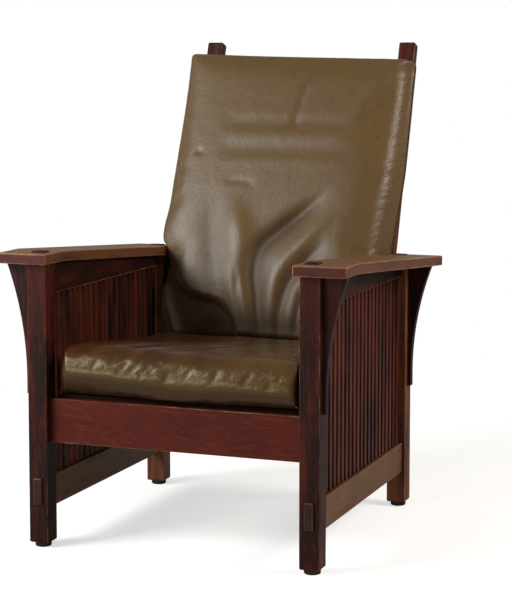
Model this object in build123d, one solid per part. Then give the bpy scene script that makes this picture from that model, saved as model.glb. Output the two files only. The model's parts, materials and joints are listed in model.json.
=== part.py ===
from build123d import *
import os
from math import cos, radians, sin, tan

# Mission reclining armchair, in millimetres.
# X points right as seen from the front, the chair faces -Y, Z is up from the floor.
# Left and right are as seen from the front. The right side is drawn and mirrored.
# While the pieces are drawn, Y starts at the front face of the front legs.
# They are then moved so that the origin is the bottom centre of the chair's box.

# Stance
outer_width = 690
outer_depth = 695
leg_side = 46
leg_edge_round = 2
foot_chamfer = 3

# Glides under the legs
glide_height = 11
glide_radius = 18.5
glide_edge_round = 3.5
glide_stem_radius = 4
glide_stem_length = 20

# Arms: level at the front, then falling to the rear
arm_top = 668
arm_thickness = 24
arm_width = 120
arm_inner_overhang = 10.5
arm_front_overhang = 19
arm_rear_overhang = 55
arm_level_length = 94
arm_fall_angle = 4.63
arm_edge_round = 3.5
arm_tenon_side = 30
arm_tenon_proud = 3.5
arm_tenon_chamfer = 2

# Front and rear rails
rail_bottom = 240
front_rail_height = 100
rear_rail_height = 89
rail_thickness = 22
front_rail_setback = 18.6
rail_tenon_thickness = 12
rail_tenon_length = 25
rail_tenon_shoulder = 15
rail_edge_round = 1.5

# Side rails near the floor, with tenons through both legs
side_rail_bottom = 88
side_rail_height = 71
side_rail_thickness = 30
side_tenon_width = 19
side_tenon_height = 59
side_tenon_proud = 7
side_tenon_chamfer = 1.5

# Arm rails under the arms
arm_rail_bottom = 572
arm_rail_thickness = 26
arm_rail_tenon_thickness = 12
arm_rail_tenon_shoulder = 5

# Spindles between side rail and arm rail
spindle_count = 21
spindle_side = 16
spindle_tenon = 10
spindle_edge_round = 1.2

# Corbels on the legs' outer faces
corbel_thickness = 18
corbel_reach = 57
corbel_foot = 9
corbel_curve_height = 260
corbel_length = 295

# Back: uprights, slats and pivot
recline = 19.1
upright_width = 42
upright_thickness = 28
upright_length = 816.5
upright_edge_round = 2
upright_top_round = 5
pivot_rise = 32
pivot_gap = 15
pin_radius = 6
pin_in_upright = 34
pin_in_leg = 25
pin_end_clearance = 1
spacer_radius = 14
running_clearance = 0.05
side_clearance = 0.3
slat_count = 5
slat_height = 62
slat_thickness = 14
slat_first = 45
slat_top_gap = 56.5
slat_tenon_length = 20
slat_tenon_thickness = 8
slat_tenon_shoulder = 8
slat_edge_round = 1.5

# Support bar behind the back, and the two rack plates that carry it
bar_radius = 9.5
bar_clearance = 0.3
bar_below_arm = 18.7
bar_end_overhang = 13
bar_end_chamfer = 1.5
bar_travel = 89.7
track_lean = 11
rack_thickness = 12
rack_inset = 6
rack_top_gap = 10
rack_lead = 32
rack_tail = 28
rack_tip = 13
rack_depth = 140
rack_belly = 17
notch_count = 4
notch_radius = 12
notch_depth = 3

# Screws
screw_radius = 2.2
screw_head_radius = 4.4
screw_head_height = 2.6
screw_slot_width = 1
screw_slot_depth = 1
rack_screw_length = 30
front_cleat_screw_length = 31
rear_cleat_screw_length = 54
cleat_screw_count = 3
cleat_screw_reach_share = 0.72
rack_screw_shares = (0.16, 0.5, 0.84)

# Seat frame, sloping down to the rear, on two cleats
seat_slope = 4.2
seat_over_rail = 10.6
seat_frame_thickness = 24
seat_member_width = 58
seat_side_gap = 11
seat_front_gap = 2.4
seat_rear_gap = 8
seat_tenon_length = 22
seat_tenon_thickness = 8
front_cleat_depth = 20
rear_cleat_depth = 40
cleat_height = 28
cleat_side_gap = 9
rest_clearance = 0.3

# Webbing straps on the seat frame
strap_thickness = 1.5
strap_width = 50
long_strap_count = 7
cross_strap_count = 6
strap_seat = 40

# Seat cushion
cushion_front_overhang = 2
seat_cushion_edge = 96
seat_cushion_crown = 20
cushion_side_gap = 5.5
cushion_end_gap = 7
cushion_tuck = 7
cushion_trim = 3

# Back cushion, narrow between the arms and wider above them
back_cushion_low = 8
back_cushion_top_gap = 36.5
back_cushion_edge = 92
back_cushion_crown = 24
back_cushion_flare = 16

# Stations along a cushion, as shares: place, width, lift of the base, edge
# thickness, crown, and for the back cushion how far the flare has opened
seat_station_shares = (
    (0.0, 0.96, 0.28, 0.42, 0.1),
    (0.015, 0.98, 0.14, 0.68, 0.2),
    (0.05, 0.995, 0.04, 0.88, 0.4),
    (0.12, 1.0, 0.0, 0.97, 0.8),
    (0.27, 0.99, 0.0, 1.0, 0.95),
    (0.5, 0.985, 0.0, 1.0, 1.0),
    (0.73, 0.99, 0.0, 1.0, 0.95),
    (0.91, 1.0, 0.0, 0.97, 0.8),
    (0.975, 0.985, 0.05, 0.86, 0.5),
    (1.0, 0.955, 0.14, 0.68, 0.2),
)
back_station_shares = (
    (0.0, 0.95, 0.16, 0.66, 0.1, 0.0),
    (0.02, 0.985, 0.06, 0.86, 0.2, 0.0),
    (0.07, 1.0, 0.0, 0.98, 0.3, 0.0),
    (0.2, 1.0, 0.0, 1.0, 0.4, 0.0),
    (0.34, 0.995, 0.0, 1.0, 0.6, 0.1),
    (0.48, 0.99, 0.0, 0.96, 0.85, 0.4),
    (0.62, 0.985, 0.0, 0.9, 1.0, 0.65),
    (0.78, 0.99, 0.0, 0.8, 1.0, 0.9),
    (0.93, 1.0, 0.0, 0.68, 0.9, 1.0),
    (0.985, 0.985, 0.03, 0.58, 0.5, 1.0),
    (1.0, 0.96, 0.08, 0.44, 0.3, 1.0),
)

# Room for cuts to run past a surface
overrun = 5

# Places that follow from the sizes above
half_width = outer_width / 2
leg_inner = half_width - leg_side
leg_centre = half_width - leg_side / 2
rear_leg_front = outer_depth - leg_side
arm_inner = leg_inner - arm_inner_overhang
arm_level_end = arm_level_length - arm_front_overhang
arm_rear_end = outer_depth + arm_rear_overhang
fall = radians(arm_fall_angle)
arm_fold = arm_level_end - arm_thickness * tan(fall / 2)
front_rail_top = rail_bottom + front_rail_height
rear_rail_top = rail_bottom + rear_rail_height
rear_rail_front = outer_depth - (leg_side + rail_thickness) / 2
side_rail_top = side_rail_bottom + side_rail_height
lean = radians(recline)
pivot_y = outer_depth - leg_side / 2
pivot_z = rear_rail_top + pivot_rise
back_outer = leg_inner - pivot_gap
back_inner = back_outer - upright_width
back_front = upright_thickness / 2
slat_last_top = upright_length - slat_top_gap
back_cushion_length = upright_length - back_cushion_low - back_cushion_top_gap
slope = radians(seat_slope)
seat_top = front_rail_top + seat_over_rail
seat_frame_outer = leg_inner - seat_side_gap
seat_frame_front = front_rail_setback + rail_thickness + seat_front_gap
seat_frame_rear = rear_rail_front - seat_rear_gap
cushion_base = strap_thickness + rest_clearance
cushion_half = arm_inner - cushion_side_gap


def arm_top_at(y):
    """Height of the arm's top face."""
    return arm_top - tan(fall) * max(0, y - arm_level_end)


def arm_underside(y):
    """Height of the arm's underside."""
    sloping = arm_top - tan(fall) * (y - arm_level_end) - arm_thickness / cos(fall)
    return min(arm_top - arm_thickness, sloping)


# Support bar at rest, behind the uprights, and the straight track that it follows
bar_back = back_front + bar_clearance + bar_radius
bar_z = arm_underside(arm_rear_end) - bar_below_arm
bar_rise = (bar_z - pivot_z + bar_back * sin(lean)) / cos(lean)
bar_y = pivot_y + bar_rise * sin(lean) + bar_back * cos(lean)
track_angle = recline + track_lean
track = radians(track_angle)
track_below = bar_radius + bar_clearance

# Origin of the finished chair, halfway between arm fronts and upright tops
upright_top_y = (
    pivot_y
    + (upright_length - upright_top_round) * sin(lean)
    + (back_front - upright_top_round) * cos(lean)
    + upright_top_round
)
chair_middle = (upright_top_y - arm_front_overhang) / 2


# Shared shapes

def block(x_span, y_span, z_span):
    """Squared piece between three pairs of planes."""
    spans = (x_span, y_span, z_span)
    middle = [(low + high) / 2 for low, high in spans]
    return Pos(*middle) * Box(*[high - low for low, high in spans])


def side_board(points, x_span):
    """Board with an outline of Y, Z points, between two planes across X."""
    face = make_face(Polyline([(x_span[0], y, z) for y, z in points], close=True))
    return extrude(face, amount=x_span[1] - x_span[0], dir=(1, 0, 0))


def eased(solid, axis, radius):
    """The solid with its edges along one axis rounded."""
    return fillet(solid.edges().filter_by(axis), radius)


def rod(radius, x_span, y, z):
    """Round rod along X."""
    length = x_span[1] - x_span[0]
    return Pos(x_span[0] + length / 2, y, z) * Rot(0, 90, 0) * Cylinder(radius, length)


def screw(length):
    """Slotted countersunk screw that points down -Z, its head's top at zero."""
    shank = Pos(0, 0, -length / 2) * Cylinder(screw_radius, length)
    head = Pos(0, 0, -screw_head_height / 2) * Cone(
        screw_radius, screw_head_radius, screw_head_height
    )
    slot = Box(2 * screw_head_radius, screw_slot_width, 2 * screw_slot_depth)
    return shank + head - slot


def both_sides(solid):
    """A right-hand solid and its mirrored left-hand twin."""
    return [solid, mirror(solid, about=Plane.YZ)]


# Frame of the chair

def arm():
    """Arm board, bent where the level front meets the falling rear."""
    drop_y = arm_thickness * sin(fall)
    drop_z = arm_thickness * cos(fall)
    rear_top = arm_top_at(arm_rear_end)
    level_under = arm_top - arm_thickness
    board = side_board(
        [
            (-arm_front_overhang, level_under),
            (-arm_front_overhang, arm_top),
            (arm_level_end, arm_top),
            (arm_rear_end, rear_top),
            (arm_rear_end - drop_y, rear_top - drop_z),
            (arm_fold, level_under),
        ],
        (arm_inner, arm_inner + arm_width),
    )
    across = board.edges().filter_by(Axis.X).sort_by(Axis.Y)
    bends = across[2:4]
    return fillet([edge for edge in board.edges() if edge not in bends], arm_edge_round)


def leg(y_front):
    """Leg with a chamfered foot and a tenon that passes up through the arm."""
    y_back = y_front + leg_side
    shaft = side_board(
        [
            (y_front, glide_height),
            (y_back, glide_height),
            (y_back, arm_underside(y_back)),
            (y_front, arm_underside(y_front)),
        ],
        (leg_inner, half_width),
    )
    shaft = chamfer(shaft.faces().sort_by(Axis.Z)[0].edges(), foot_chamfer)
    shaft = eased(shaft, Axis.Z, leg_edge_round)
    inset = (leg_side - arm_tenon_side) / 2
    front, back = y_front + inset, y_back - inset
    tenon = side_board(
        [
            (front, arm_underside(front)),
            (back, arm_underside(back)),
            (back, arm_top_at(back) + arm_tenon_proud),
            (front, arm_top_at(front) + arm_tenon_proud),
        ],
        (leg_inner + inset, half_width - inset),
    )
    tenon = chamfer(tenon.faces().sort_by(Axis.Z)[-1].edges(), arm_tenon_chamfer)
    return shaft + tenon


def glide(y):
    """Round metal glide with a stem up into the leg."""
    foot = Pos(leg_centre, y, glide_height / 2) * Cylinder(glide_radius, glide_height)
    foot = fillet(foot.edges().sort_by(Axis.Z)[0], glide_edge_round)
    stem_middle = glide_height + glide_stem_length / 2
    return foot + Pos(leg_centre, y, stem_middle) * Cylinder(
        glide_stem_radius, glide_stem_length
    )


def cross_rail(y_front, height):
    """Rail between left and right legs, with stub tenons."""
    top = rail_bottom + height
    rail = block(
        (-leg_inner, leg_inner), (y_front, y_front + rail_thickness), (rail_bottom, top)
    )
    rail = eased(rail, Axis.X, rail_edge_round)
    cheek = (rail_thickness - rail_tenon_thickness) / 2
    reach = leg_inner + rail_tenon_length
    return rail + block(
        (-reach, reach),
        (y_front + cheek, y_front + rail_thickness - cheek),
        (rail_bottom + rail_tenon_shoulder, top - rail_tenon_shoulder),
    )


def side_rail():
    """Low side rail whose tenons show at the front and rear of the legs."""
    half = side_rail_thickness / 2
    rail = block(
        (leg_centre - half, leg_centre + half),
        (leg_side, rear_leg_front),
        (side_rail_bottom, side_rail_top),
    )
    tenon = block(
        (leg_centre - side_tenon_width / 2, leg_centre + side_tenon_width / 2),
        (-side_tenon_proud, outer_depth + side_tenon_proud),
        (side_rail_top - side_tenon_height, side_rail_top),
    )
    ends = tenon.faces().sort_by(Axis.Y)
    tenon = chamfer(ends[0].edges() + ends[-1].edges(), side_tenon_chamfer)
    return eased(rail, Axis.Y, rail_edge_round) + tenon


def arm_rail():
    """Tapered rail under the arm, with a stub tenon at each end."""
    half = arm_rail_thickness / 2
    rail = side_board(
        [
            (leg_side, arm_rail_bottom),
            (rear_leg_front, arm_rail_bottom),
            (rear_leg_front, arm_underside(rear_leg_front)),
            (arm_fold, arm_top - arm_thickness),
            (leg_side, arm_top - arm_thickness),
        ],
        (leg_centre - half, leg_centre + half),
    )
    cheek = arm_rail_tenon_thickness / 2
    across = (leg_centre - cheek, leg_centre + cheek)
    low = arm_rail_bottom + arm_rail_tenon_shoulder
    tenon_rear = rear_leg_front + rail_tenon_length
    front = block(
        across,
        (leg_side - rail_tenon_length, leg_side),
        (low, arm_underside(leg_side) - arm_rail_tenon_shoulder),
    )
    rear = block(
        across,
        (rear_leg_front, tenon_rear),
        (low, arm_underside(tenon_rear) - arm_rail_tenon_shoulder),
    )
    return rail + front + rear


def spindles():
    """Square spindles of the right side, evenly spaced between the legs."""
    room = rear_leg_front - leg_side
    gap = (room - spindle_count * spindle_side) / (spindle_count + 1)
    first = leg_side + gap + spindle_side / 2
    low = side_rail_top - spindle_tenon
    high = arm_rail_bottom + spindle_tenon
    one = eased(
        Box(spindle_side, spindle_side, high - low), Axis.Z, spindle_edge_round
    )
    middle = (low + high) / 2
    return [
        Pos(leg_centre, first + n * (spindle_side + gap), middle) * one
        for n in range(spindle_count)
    ]


def corbel(y):
    """Long bracket on a leg's outer face: a blunt foot and a hollow curve."""
    top = arm_underside(y)
    tip = (half_width + corbel_reach, 0, top)
    curve_foot = (half_width + corbel_foot, 0, top - corbel_curve_height)
    base = top - corbel_length
    buried = top + arm_thickness / 2
    curve = TangentArc([curve_foot, tip], tangent=(0, 0, 1))
    rest = Polyline(
        [
            tip,
            (tip[0], 0, buried),
            (half_width, 0, buried),
            (half_width, 0, base),
            (curve_foot[0], 0, base),
            curve_foot,
        ]
    )
    face = make_face(curve + rest)
    return Pos(0, y, 0) * extrude(
        face, amount=corbel_thickness / 2, dir=(0, 1, 0), both=True
    )


def cleat_top(y):
    """Height of a cleat's top, just under the sloping seat frame."""
    drop = (seat_frame_thickness + rest_clearance) / cos(slope)
    return seat_top - drop - tan(slope) * y


def cleat(front, rear):
    """Strip under the seat frame, its top cut to the frame's slope."""
    reach = leg_inner - cleat_side_gap
    low = cleat_top(rear) - cleat_height
    points = [(front, low), (rear, low), (rear, cleat_top(rear)), (front, cleat_top(front))]
    return side_board(points, (-reach, reach))


def cleat_screws(y, rear, length, towards):
    """Row of screws through a cleat; towards is 1 for a row that points to +Y."""
    z = cleat_top(rear) - cleat_height / 2
    reach = leg_inner * cleat_screw_reach_share
    step = 2 * reach / (cleat_screw_count - 1)
    return [
        Pos(n * step - reach, y, z) * Rot(90 * towards, 0, 0) * screw(length)
        for n in range(cleat_screw_count)
    ]


# Back, drawn upright about its pivot and then leaned

def on_back(solid):
    """A piece drawn about the pivot, with Z along the uprights, put in place."""
    return Pos(0, pivot_y, pivot_z) * Rot(-recline, 0, 0) * solid


def upright():
    """Back upright with a round lower end about the pivot."""
    post = block(
        (back_inner, back_outer), (-back_front, back_front), (0, upright_length)
    )
    post = eased(post, Axis.Z, upright_edge_round)
    top_edges = post.faces().sort_by(Axis.Z)[-1].edges().filter_by(Axis.X)
    post = fillet(top_edges, upright_top_round)
    return post + rod(back_front, (back_inner, back_outer), 0, 0)


def slat(number):
    """Flat slat between the uprights, with stub tenons."""
    step = (slat_last_top - slat_height - slat_first) / (slat_count - 1)
    low = slat_first + number * step
    half = slat_thickness / 2
    board = block((-back_inner, back_inner), (-half, half), (low, low + slat_height))
    reach = back_inner + slat_tenon_length
    cheek = slat_tenon_thickness / 2
    tenons = block(
        (-reach, reach),
        (-cheek, cheek),
        (low + slat_tenon_shoulder, low + slat_height - slat_tenon_shoulder),
    )
    return eased(board, Axis.X, slat_edge_round) + tenons


# Racks and support bar

def on_track(along, above):
    """Y, Z place on the rack: along its notched edge and above that edge."""
    foot_y = bar_y - track_below * sin(track)
    foot_z = bar_z - track_below * cos(track)
    return (
        foot_y + along * cos(track) + above * sin(track),
        foot_z - along * sin(track) + above * cos(track),
    )


def rack():
    """Plate on the rear leg's inner face, with notches along its upper edge."""
    front = rear_leg_front + rack_inset
    top = arm_underside(outer_depth) - rack_top_gap
    low = top - rack_depth
    end = bar_travel + rack_tail
    path = [(front, low), (front, top), on_track(-rack_lead, 0), on_track(end, 0)]
    path.append(on_track(end, -rack_tip))
    inner = leg_inner - rack_thickness
    points = [(inner, y, z) for y, z in path]
    outline = Polyline(points) + ThreePointArc(
        points[-1], rack_belly_point(points[-1], points[0]), points[0]
    )
    plate = extrude(make_face(outline), amount=rack_thickness, dir=(1, 0, 0))
    step = bar_travel / (notch_count - 1)
    for n in range(notch_count):
        y, z = on_track(n * step, notch_radius - notch_depth)
        plate -= rod(notch_radius, (inner - overrun, leg_inner + overrun), y, z)
    return plate


def rack_belly_point(start, end):
    """Middle of the rack's lower edge, drawn in above its chord."""
    middle_y = (start[1] + end[1]) / 2
    middle_z = (start[2] + end[2]) / 2
    return (start[0], middle_y, middle_z + rack_belly)


def rack_screws():
    """Screws through the right rack into the rear leg."""
    top = arm_underside(outer_depth) - rack_top_gap
    y = rear_leg_front + (leg_side + rack_inset) / 2
    inner = leg_inner - rack_thickness
    return [
        Pos(inner, y, top - rack_depth * share) * Rot(0, -90, 0) * screw(rack_screw_length)
        for share in rack_screw_shares
    ]


# Seat, drawn level and then tipped back

def on_seat(solid):
    """A piece drawn level, with the seat frame's top at Z zero, put in place."""
    return Pos(0, 0, seat_top) * Rot(-seat_slope, 0, 0) * solid


def seat_members():
    """Front, rear, left and right members of the seat frame."""
    low = -seat_frame_thickness
    inner = seat_frame_outer - seat_member_width
    front_end = seat_frame_front + seat_member_width
    rear_start = seat_frame_rear - seat_member_width
    full = (-seat_frame_outer, seat_frame_outer)
    side = block(
        (inner, seat_frame_outer), (front_end, rear_start), (low, -strap_thickness)
    )
    middle = (low - strap_thickness) / 2
    half = seat_tenon_thickness / 2
    side += block(
        (inner + seat_tenon_thickness, seat_frame_outer - seat_tenon_thickness),
        (front_end - seat_tenon_length, rear_start + seat_tenon_length),
        (middle - half, middle + half),
    )
    right, left = both_sides(side)
    front = block(full, (seat_frame_front, front_end), (low, 0)) - [right, left]
    rear = block(full, (rear_start, seat_frame_rear), (low, 0)) - [right, left]
    return front, rear, left, right


def straps():
    """Lengthwise straps on the frame and crosswise straps just beneath them."""
    half = strap_width / 2
    inner = seat_frame_outer - seat_member_width
    front_end = seat_frame_front + seat_member_width
    rear_start = seat_frame_rear - seat_member_width
    long_step = 2 * (inner - half) / (long_strap_count - 1)
    lengthwise = [
        block(
            (x - half, x + half),
            (front_end - strap_seat, rear_start + strap_seat),
            (0, strap_thickness),
        )
        for x in [half - inner + n * long_step for n in range(long_strap_count)]
    ]
    cross_step = (rear_start - front_end) / cross_strap_count
    crosswise = [
        block(
            (-inner - strap_seat, inner + strap_seat),
            (y - half, y + half),
            (-strap_thickness, 0),
        )
        for y in [front_end + (n + 1 / 2) * cross_step for n in range(cross_strap_count)]
    ]
    return lengthwise, crosswise


# Cushions: a loft through sections, each a flat base, two bowed sides and a crown

def section(place, half, low, high, crown):
    """Section of a cushion across its length, at one place along it."""
    inner = half - cushion_tuck
    middle = (low + high) / 2
    corners = [(-inner, low), (inner, low), (inner, high), (-inner, high)]
    a, b, c, d = [(x, place, z) for x, z in corners]
    outline = Line(a, b) + ThreePointArc(b, (half, place, middle), c)
    outline += ThreePointArc(c, (0, place, high + crown), d)
    outline += ThreePointArc(d, (-half, place, middle), a)
    return make_face(outline)


def cushion(faces, base):
    """Cushion through its sections, cut flat where it rests."""
    ends = (faces[0].center().Y - overrun, faces[-1].center().Y + overrun)
    below = block((-outer_width, outer_width), ends, (base - outer_depth, base))
    return loft(faces) - below


def section_low(base, lift, edge):
    """Lowest edge of a section: past the cut, unless the section is lifted."""
    return base + lift * edge if lift > 0 else base - cushion_trim


def seat_cushion():
    """Boxed seat cushion from past the front rail to the back cushion."""
    back_face = upright_thickness / 2 + rest_clearance + back_cushion_edge
    corner_y = pivot_y + back_cushion_low * sin(lean) - back_face * cos(lean)
    rear = (corner_y - cushion_end_gap - seat_cushion_edge * sin(slope)) / cos(slope)
    length = rear + cushion_front_overhang
    faces = [
        section(
            place * length - cushion_front_overhang,
            width * cushion_half,
            section_low(cushion_base, lift, seat_cushion_edge),
            cushion_base + (lift + edge) * seat_cushion_edge,
            crown * seat_cushion_crown,
        )
        for place, width, lift, edge, crown in seat_station_shares
    ]
    return cushion(faces, cushion_base)


def back_cushion():
    """Back cushion on the uprights, thick at its foot and thinner at its top."""
    base = back_front + rest_clearance
    faces = [
        section(
            back_cushion_low + place * back_cushion_length,
            width * (cushion_half + flare * back_cushion_flare),
            section_low(base, lift, back_cushion_edge),
            base + (lift + edge) * back_cushion_edge,
            crown * back_cushion_crown,
        )
        for place, width, lift, edge, crown, flare in back_station_shares
    ]
    return Rot(90, 0, 0) * cushion(faces, base)


def chair():
    """Every node of the chair, by name, in the drawing frame."""
    nodes = {}

    def pair(name, right):
        nodes[name + "_right"], nodes[name + "_left"] = both_sides(right)

    arm_blank = arm()
    front_rail = cross_rail(front_rail_setback, front_rail_height)
    rear_rail = cross_rail(rear_rail_front, rear_rail_height)
    low_rail = side_rail()
    high_rail = arm_rail()
    bars = spindles()
    plate_screws = rack_screws()
    glides = [glide(leg_side / 2), glide(outer_depth - leg_side / 2)]
    pin_bore = rod(
        pin_radius + running_clearance,
        (back_outer - overrun, leg_inner + pin_in_leg + pin_end_clearance),
        pivot_y,
        pivot_z,
    )
    front_leg = leg(0) - [front_rail, low_rail, high_rail, glides[0]]
    rear_leg = leg(rear_leg_front) - [rear_rail, low_rail, high_rail, glides[1]]
    rear_leg = rear_leg - [pin_bore] - plate_screws
    pair("front_leg", front_leg)
    pair("rear_leg", rear_leg)
    pair("arm", arm_blank - [front_leg, rear_leg])
    pair("side_rail", low_rail - bars)
    pair("arm_rail", high_rail - bars)
    pair("front_corbel", corbel(leg_side / 2) - arm_blank)
    pair("rear_corbel", corbel(outer_depth - leg_side / 2) - arm_blank)
    pair("spindles", Compound(bars))
    pair("rack", rack() - plate_screws)
    nodes["foot_glides"] = Compound([twin for one in glides for twin in both_sides(one)])
    nodes["rack_screws"] = Compound([t for one in plate_screws for t in both_sides(one)])

    rail_rear = front_rail_setback + rail_thickness
    cleat_rear = rail_rear + front_cleat_depth
    rear_cleat_front = rear_rail_front - rear_cleat_depth
    front_screws = cleat_screws(cleat_rear, cleat_rear, front_cleat_screw_length, -1)
    rear_screws = cleat_screws(
        rear_cleat_front, rear_rail_front, rear_cleat_screw_length, 1
    )
    nodes["front_rail"] = front_rail - front_screws
    nodes["rear_rail"] = rear_rail - rear_screws
    nodes["seat_cleat_front"] = cleat(rail_rear, cleat_rear) - front_screws
    nodes["seat_cleat_rear"] = cleat(rear_cleat_front, rear_rail_front) - rear_screws
    nodes["cleat_screws"] = Compound(front_screws + rear_screws)

    spacer = rod(spacer_radius, (back_outer + side_clearance, leg_inner), pivot_y, pivot_z)
    nodes["pivot_spacers"] = Compound(both_sides(spacer - pin_bore))
    pin = rod(pin_radius, (back_outer - pin_in_upright, leg_inner + pin_in_leg), 0, 0)
    slats = [slat(n) for n in range(slat_count)]
    pair("back_upright", on_back(upright() - slats - pin))
    for n, one in enumerate(slats):
        nodes[f"back_slat_{n + 1}"] = on_back(one)
    nodes["pivot_pins"] = Compound(both_sides(on_back(pin)))

    bar = rod(
        bar_radius,
        (-leg_inner - bar_end_overhang, leg_inner + bar_end_overhang),
        bar_y,
        bar_z,
    )
    nodes["support_bar"] = chamfer(bar.edges().filter_by(GeomType.CIRCLE), bar_end_chamfer)

    front, rear, left, right = seat_members()
    nodes["seat_frame_front"] = on_seat(front)
    nodes["seat_frame_rear"] = on_seat(rear)
    nodes["seat_frame_left"] = on_seat(left)
    nodes["seat_frame_right"] = on_seat(right)
    lengthwise, crosswise = straps()
    nodes["webbing_lengthwise"] = on_seat(Compound(lengthwise))
    nodes["webbing_crosswise"] = on_seat(Compound(crosswise))
    nodes["seat_cushion"] = on_seat(seat_cushion())
    nodes["back_cushion"] = on_back(back_cushion())
    return nodes


os.makedirs("parts", exist_ok=True)
for name, shape in chair().items():
    export_step(Pos(0, -chair_middle, 0) * shape, f"parts/{name}.step")
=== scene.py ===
import json
from itertools import accumulate, repeat
from math import atan2, cos, pi, radians, sin

import bpy
import numpy as np
from bpy.props import FloatProperty, FloatVectorProperty, PointerProperty
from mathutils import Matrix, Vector


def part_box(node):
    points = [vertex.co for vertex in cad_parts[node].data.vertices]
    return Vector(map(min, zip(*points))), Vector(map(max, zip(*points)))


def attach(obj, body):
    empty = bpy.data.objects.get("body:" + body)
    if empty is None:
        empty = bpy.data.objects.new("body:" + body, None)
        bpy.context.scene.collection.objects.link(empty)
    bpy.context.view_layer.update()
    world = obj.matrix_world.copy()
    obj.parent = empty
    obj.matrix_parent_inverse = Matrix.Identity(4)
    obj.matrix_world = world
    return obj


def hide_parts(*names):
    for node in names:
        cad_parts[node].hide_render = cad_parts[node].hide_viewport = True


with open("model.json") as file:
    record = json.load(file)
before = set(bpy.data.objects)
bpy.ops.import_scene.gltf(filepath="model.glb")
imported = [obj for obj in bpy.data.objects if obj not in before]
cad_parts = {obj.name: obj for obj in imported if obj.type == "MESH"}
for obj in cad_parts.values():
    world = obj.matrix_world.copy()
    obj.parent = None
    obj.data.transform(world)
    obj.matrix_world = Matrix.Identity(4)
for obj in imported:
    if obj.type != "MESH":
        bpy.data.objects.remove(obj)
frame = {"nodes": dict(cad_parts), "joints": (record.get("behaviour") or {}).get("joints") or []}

bl_info = {
    "name": "Mission reclining armchair",
    "version": (1, 0, 0),
    "blender": (4, 5, 0),
    "location": "3D View > Sidebar > Armchair",
    "description": "Finishes the oak frame and makes the leather cushions of a reclining armchair",
    "category": "Object",
}

MM = 0.001


# Places worked out from the frame

def joint(name):
    """The frame's joint of that name."""
    return next(j for j in frame["joints"] if j["name"] == name)


def mesh_points(mesh):
    """The points of a mesh as an array."""
    flat = np.empty(3 * len(mesh.vertices), np.float32)
    mesh.vertices.foreach_get("co", flat)
    return flat.reshape(-1, 3).astype(float)


def corners(node):
    """The points of a CAD node's mesh."""
    return mesh_points(frame["nodes"][node].data)


PIVOT = Vector(joint("back_recline")["pos_m"])
BACK_UP = Vector(joint("back_cushion_lift")["axis"]).normalized()
LEAN = atan2(BACK_UP.y, BACK_UP.z)
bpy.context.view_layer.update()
LEG_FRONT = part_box("front_leg_right")[0].y
ARM_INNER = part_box("arm_right")[0].x


def srgb(red, green, blue):
    """Linear colour of an 8-bit screen colour."""
    shares = [value / 255 for value in (red, green, blue)]
    return tuple(s / 12.92 if s < 0.04045 else ((s + 0.055) / 1.055) ** 2.4 for s in shares)


def smooth(values, low, high):
    """Smooth step from 0 at low to 1 at high."""
    t = np.clip((values - low) / (high - low), 0, 1)
    return t * t * (3 - 2 * t)


class Place:
    """A flat frame of its own: across, along and out from an origin."""

    def __init__(self, origin, along, out):
        self.origin = np.array(origin, float)
        self.axes = np.array([(1, 0, 0), tuple(along), tuple(out)], float)

    def points(self, local):
        """Local places in the chair's frame."""
        return self.origin + local @ self.axes

    def local(self, points):
        """Places in the chair's frame as across, along and out."""
        return (points - self.origin) @ self.axes.T


# Sizes and colours that a user would change

def length(name, text, millimetres):
    return FloatProperty(
        name=name, description=text, default=millimetres * MM, unit="LENGTH", precision=4
    )


def angle(name, text, degrees):
    return FloatProperty(name=name, description=text, default=radians(degrees), subtype="ANGLE")


def number(name, text, default):
    return FloatProperty(name=name, description=text, default=default)


def colour(name, text, red, green, blue):
    return FloatVectorProperty(
        name=name, description=text, default=srgb(red, green, blue), subtype="COLOR", min=0, max=1
    )


class OakFinish(bpy.types.PropertyGroup):
    """Colours of the fumed and stained oak."""

    dark: colour("Dark", "Darkest stain between the figure", 38, 17, 16)
    red: colour("Red", "Stain over most of the wood", 94, 32, 21)
    fleck: colour("Ray fleck", "Slanted ray flecks of the quarter-sawn faces", 134, 58, 36)
    worn_and_highlight: colour("Worn edge", "Edges rubbed through to lighter wood", 174, 130, 92)
    brown: colour("Brown", "Arms faded by daylight and use", 116, 84, 52)
    plain: colour("Plain wood", "Seat frame and cleats, darkened by age", 96, 68, 44)
    wear: length("Wear", "Width of the worn line along an edge", 1.8)


class CushionLeather(bpy.types.PropertyGroup):
    """Colours of the old leather."""

    ground: colour("Ground", "Olive tan of the back cushion", 98, 72, 32)
    # Tan also paints highlights on ridges and light on the seat's top
    tan: colour("Tan", "Ridges rubbed lighter", 126, 100, 60)
    shade: colour("Shade", "Creases and hollows", 52, 32, 20)
    seat: colour("Seat", "Brown of the seat cushion's top", 68, 37, 12)
    # The seat front's olive is a painted reflection
    painted_reflection_olive: colour("Olive", "Olive of the seat cushion's front", 74, 54, 18)
    piping: colour("Piping", "Leather over the piping cord", 48, 32, 20)


class BackCushionSizes(bpy.types.PropertyGroup):
    """Sizes of the back cushion."""

    low: length("Foot", "From the pivot to the cushion's foot, along the back", 9)
    edge_low: length("Edge at the foot", "Thickness at the foot's seam", 90)
    edge_high: length("Edge at the top", "Thickness at the top's seam", 60)
    crown: length("Crown", "Rise of the front panel before filling", 9)
    shift: length("Shift", "How far the cushion sits to the left", 12.5)
    spare: length("Spare", "How much narrower than its box the cushion is, on each side", 6)
    slack: length("Slack", "How far the right side is drawn in below the arms", 17.5)
    sag: length("Sag", "How far the top edge has sunk, in its middle", 12)
    flap: length("Flap", "Depth of the tucked lower left corner", 15)
    corner: length("Corner", "Radius of the panel's corners", 14)
    side_roll: length("Left roll", "How far the rolled left side reaches in", 15)
    right_roll: length("Right roll", "How far the rolled right side reaches in", 34)
    end_roll: length("End roll", "How far the rolled ends reach in", 13)
    cell: length("Cell", "Spacing of the leather's mesh", 7.5)
    piping: length("Piping", "Radius of the piping", 2.6)


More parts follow.
